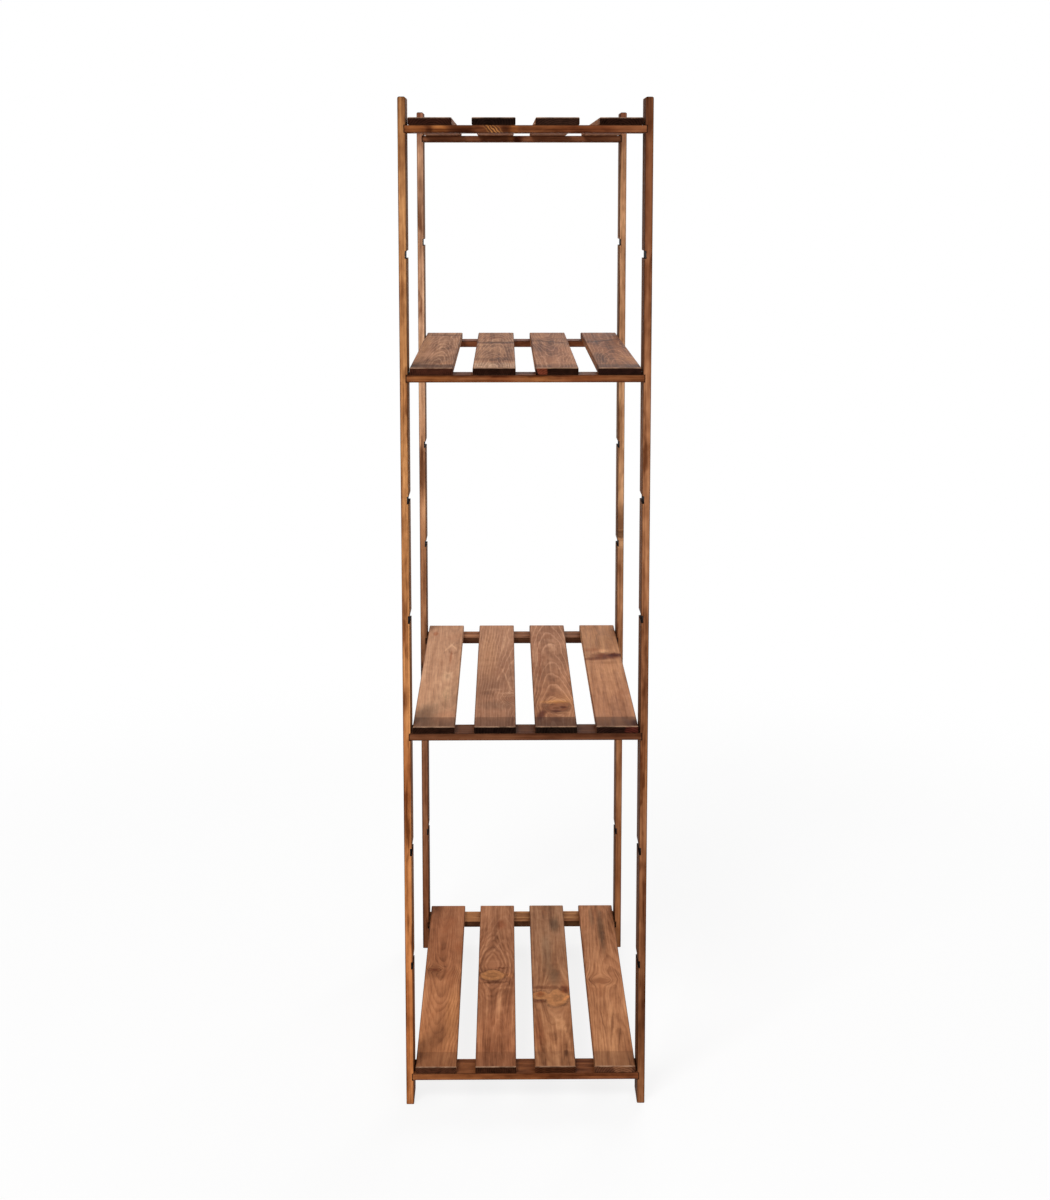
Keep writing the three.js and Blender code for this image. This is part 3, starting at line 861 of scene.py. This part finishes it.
            Patch(-29, 48, 30, 30, SHADED, 0.9), Patch(-29, 0, 30, 12, PALE, 0.7),
            Patch(-29, 240, 30, 140, PALE, 0.4), Patch(-29, -20, 40, 110, SHADED, 0.3),
            Patch(-29, 850, 60, 70, (0.34, 0.26, 0.28), 1.0)]),
    # the rails
    "bottom_shelf_front_rail": Look(
        (134, 78, 44), (126, 72, 42), ring=3.0, heart=(40, 8), slope=0.01, wander=8, rings=0.25, streaks=0.7,
        blotches=0.7, shadow=0.25),
    "third_shelf_front_rail": Look(
        (102, 60, 38), (96, 56, 36), ring=3.0, heart=(44, 6), slope=0.01, wander=8, rings=0.2, streaks=0.7,
        blotches=0.6, shadow=0.35),
    "second_shelf_front_rail": Look(
        (120, 70, 40), (114, 66, 38), ring=3.0, heart=(46, 5), slope=-0.01, wander=8, rings=0.25, streaks=0.8,
        blotches=0.8, shadow=0.3,
        patches=[
            Patch(-27, -150, 30, 40, GOLDEN, 0.4), Patch(-27, -40, 30, 30, RUDDY, 0.6),
            Patch(-27, 90, 30, 40, RUDDY, 0.6), Patch(-27, 20, 30, 24, GOLDEN, 0.5)]),
    "top_shelf_front_rail": Look(
        (122, 71, 42), (112, 64, 38), ring=3.0, heart=(50, 4), slope=0.01, wander=8, rings=0.25, streaks=0.7,
        blotches=0.8, shadow=0.3,
        patches=[
            Patch(-27, -178, 40, 20, GOLDEN, 0.8), Patch(-27, -137, 40, 16, GOLDEN, 1.0),
            Patch(-27, -137, 40, 8, PALE, 0.6), Patch(-27, -154, 30, 7, SHADED, 0.8),
            Patch(-27, -100, 40, 26, SHADED, 0.9), Patch(-27, -32, 40, 9, SHADED, 0.9),
            Patch(-27, -20, 40, 9, GOLDEN, 1.0), Patch(-27, 100, 40, 60, RUDDY, 0.5),
            Patch(-27, 30, 40, 40, GOLDEN, 0.3)]),
    "bottom_shelf_rear_rail": Look(
        (166, 112, 71), ring=3.0, heart=(48, 5), slope=0.01, wander=8, rings=0.2, streaks=0.7, blotches=0.7,
        shadow=0.78),
    "third_shelf_rear_rail": Look(
        (146, 95, 63), ring=3.0, heart=(45, 7), slope=0.01, wander=8, rings=0.2, streaks=0.7, blotches=0.6,
        shadow=0.83),
    "second_shelf_rear_rail": Look(
        (124, 72, 46), ring=3.0, heart=(42, 6), slope=-0.01, wander=8, rings=0.2, streaks=0.5, blotches=0.4,
        shadow=0.05),
    "top_shelf_rear_rail": Look(
        (134, 84, 56), ring=3.0, heart=(50, 3), slope=0.01, wander=8, rings=0.2, streaks=0.6, blotches=0.5,
        shadow=0.1,
        patches=[
            Patch(-27, -8, 40, 11, BURNT, 1.0), Patch(-27, -20, 40, 6, GOLDEN, 0.9),
            Patch(-27, 100, 40, 90, SHADED, 0.25)]),
}

# Which boards each extra mark is on, as a part of their names, in the order in which the marks go on.
# over_front_rail, on_inner_face, on_upper_face and on_front_edge paint shade; the others are the wood's own marks.
STAINS_AND_SHADE = [
    ("slat", over_front_rail),
    ("upright", on_inner_face),
    ("upright", in_notches),
    ("front_rail", on_upper_face),
    ("rear_rail", on_front_edge),
    ("top_shelf_front_rail", on_striped_knot),
]


FIRST_SEED = 20
SEED_STEP = 17


def dress_boards():
    """Every board has a material of its own, with noise of its own."""
    for index, (name, look) in enumerate(LOOKS.items()):
        stains_and_shade = [stain for kind, stain in STAINS_AND_SHADE if kind in name]
        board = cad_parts[name]
        board.data.materials.clear()
        board.data.materials.append(make_pine(name, look, FIRST_SEED + SEED_STEP * index, stains_and_shade))


# ---------------------------------------------------------------- screws

# Sizes in this section are in millimetres. Each slat is held by two countersunk screws from below, driven up through
# the rails in the holes that the boards already have.
SCREW_HEAD = 7              # diameters
SCREW_SHANK = 3.5
SCREW_LENGTH = 20.3
SCREW_POINT = 3             # length of the pointed end
TIP_RADIUS = 0.01           # before its vertices are merged
HEAD_RIM = 0.4              # straight edge of the head
HEAD_SINK = 0.3             # from the face of the wood up to the head
CROSS_SPAN = 4.2            # driver cross in the head
CROSS_SLOT = 0.9
CROSS_DEPTH = 1.5
CROSS_TAPER = 0.8           # width of the recess at its bottom, in widths at the face
SCREW_SIDES = 24

ZINC = (206, 178, 112)      # 8-bit screen colours of the yellow plating
ZINC_PINK = (198, 152, 128)
ZINC_GREEN = (178, 180, 122)


def cross_outline(screw):
    """The flat cross of the driver recess, as five faces in the plane of the head."""
    grid = bmesh.ops.create_grid(screw, x_segments=3, y_segments=3, size=1)["verts"]
    for vert in grid:
        for axis in (0, 1):
            reach = CROSS_SPAN if abs(vert.co[axis]) > 0.5 else CROSS_SLOT
            vert.co[axis] = math.copysign(reach / 2, vert.co[axis])
    faces = {face for vert in grid for face in vert.link_faces}
    corners = [face for face in faces if all(abs(axis) > CROSS_SLOT / 2 for axis in face.calc_center_median()[:2])]
    bmesh.ops.delete(screw, geom=corners, context="FACES")
    return [face for face in faces if face.is_valid]


def grow_ring(screw, ring, radius, new_radius, rise):
    """Carries a ring of edges up to a new height and radius, with a wall between; the new edges and vertices."""
    grown = bmesh.ops.extrude_edge_only(screw, edges=ring)["geom"]
    verts = [item for item in grown if isinstance(item, bmesh.types.BMVert)]
    bmesh.ops.scale(screw, vec=(new_radius / radius, new_radius / radius, 1), verts=verts)
    bmesh.ops.translate(screw, vec=(0, 0, rise), verts=verts)
    return [item for item in grown if isinstance(item, bmesh.types.BMEdge)], verts


def make_screw_form():
    """One screw with its point up and its head's face in the plane z = 0."""
    screw = bmesh.new()
    rim = bmesh.ops.create_circle(screw, cap_ends=False, segments=SCREW_SIDES, radius=SCREW_HEAD / 2)["verts"]
    rim_edges = list({edge for vert in rim for edge in vert.link_edges})
    cross = cross_outline(screw)
    cross_edges = list({edge for face in cross for edge in face.edges if len(edge.link_faces) == 1})
    bmesh.ops.bridge_loops(screw, edges=rim_edges + cross_edges)
    sunk = bmesh.ops.extrude_face_region(screw, geom=cross)["geom"]
    sunk_verts = [item for item in sunk if isinstance(item, bmesh.types.BMVert)]
    bmesh.ops.scale(screw, vec=(CROSS_TAPER, CROSS_TAPER, 1), verts=sunk_verts)
    bmesh.ops.translate(screw, vec=(0, 0, CROSS_DEPTH), verts=sunk_verts)

    head, shank = SCREW_HEAD / 2, SCREW_SHANK / 2
    cone = head - shank
    ring, _ = grow_ring(screw, rim_edges, head, head, HEAD_RIM)
    ring, _ = grow_ring(screw, ring, head, shank, cone)
    ring, _ = grow_ring(screw, ring, shank, shank, SCREW_LENGTH - HEAD_RIM - cone - SCREW_POINT)
    _, tip = grow_ring(screw, ring, shank, TIP_RADIUS, SCREW_POINT)
    bmesh.ops.pointmerge(screw, verts=tip, merge_co=(0, 0, SCREW_LENGTH))
    bmesh.ops.recalc_face_normals(screw, faces=screw.faces)
    bmesh.ops.scale(screw, vec=(1 / METRE, 1 / METRE, 1 / METRE), verts=screw.verts)
    return screw


def make_zinc():
    """Yellow zinc plating, with the faint pink and green cast that it has."""
    material = bpy.data.materials.new("yellow_zinc")
    material.use_nodes = True
    tree = material.node_tree
    texture = tree.nodes.new("ShaderNodeTexCoord")

    def cloud(scale, offset):
        """Noise from 0 to 1, with this many features to a metre."""
        mapping = tree.nodes.new("ShaderNodeMapping")
        mapping.inputs["Scale"].default_value = (scale, scale, scale)
        mapping.inputs["Location"].default_value = (offset, offset * 2, offset * 3)
        tree.links.new(texture.outputs["Object"], mapping.inputs["Vector"])
        noise = tree.nodes.new("ShaderNodeTexNoise")
        noise.inputs["Scale"].default_value = 1
        tree.links.new(mapping.outputs[0], noise.inputs["Vector"])
        return Field(tree, noise.outputs[0])

    colour = mix_colours(tree, cloud(420, 3).step(0.4, 0.7) * 0.7, linear(ZINC), linear(ZINC_PINK))
    colour = mix_colours(tree, cloud(520, 8).step(0.45, 0.7) * 0.6, colour, linear(ZINC_GREEN))
    shader = tree.nodes["Principled BSDF"]
    shader.inputs["Metallic"].default_value = 1
    put(tree, shader.inputs["Base Color"], colour)
    put(tree, shader.inputs["Roughness"], cloud(900, 13) * 0.25 + 0.22)
    return material


def make_slat_screws(zinc):
    """One screw under every crossing of a slat and a rail."""
    form = make_screw_form()
    for shelf in ("bottom", "third", "second", "top"):
        for end in ("front", "rear"):
            rail_low, rail_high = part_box(f"{shelf}_shelf_{end}_rail")
            for number in range(1, 5):
                slat_low, slat_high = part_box(f"{shelf}_shelf_slat_{number}")
                place = ((slat_low[0] + slat_high[0]) / 2, (rail_low[1] + rail_high[1]) / 2,
                         rail_low[2] + HEAD_SINK / METRE)
                name = f"{shelf}_shelf_slat_{number}_{end}_screw"
                mesh = bpy.data.meshes.new(name)
                form.to_mesh(mesh)
                mesh.transform(Matrix.Translation(place))
                mesh.materials.append(zinc)
                piece = bpy.data.objects.new(name, mesh)
                bpy.context.collection.objects.link(piece)
                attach(piece, "root")
    form.free()


def plate_rail_screws(zinc):
    """The screws through the uprights, which come with the frame."""
    for name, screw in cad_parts.items():
        if name.endswith("_screw"):
            screw.data.materials.clear()
            screw.data.materials.append(zinc)


# ---------------------------------------------------------------- set up

scene = bpy.context.scene
scene.view_settings.view_transform = "Standard"
make_camera()
make_world()
make_lamps()
make_floor()
dress_boards()
zinc = make_zinc()
plate_rail_screws(zinc)
make_slat_screws(zinc)
